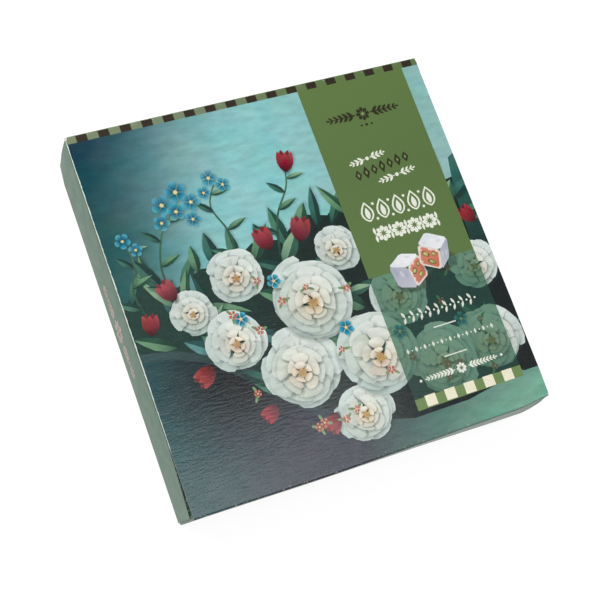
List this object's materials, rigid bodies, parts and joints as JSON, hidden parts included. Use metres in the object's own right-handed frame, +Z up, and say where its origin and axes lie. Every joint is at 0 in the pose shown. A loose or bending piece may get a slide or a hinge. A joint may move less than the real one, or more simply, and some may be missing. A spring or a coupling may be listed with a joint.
{
  "type": "sweets carton",
  "caption": "Flat square folding carton for sweets, shut at both ends by tucked closure panels, with a rounded fold along each panel.",
  "frame": {"origin": "on the surface it lies on, under the middle of the carton", "axes": "+X from the left end to the right end as the top panel's print is read, +Y from the front fold to the back fold, +Z up, out of the top panel"},
  "size_m": [0.2024, 0.2008, 0.0356],
  "materials": {
    "printed_board": "gloss-laminated print on white coated folding boxboard"
  },
  "bodies": {
    "root": {"carton": "printed_board"}
  },
  "joints": []
}
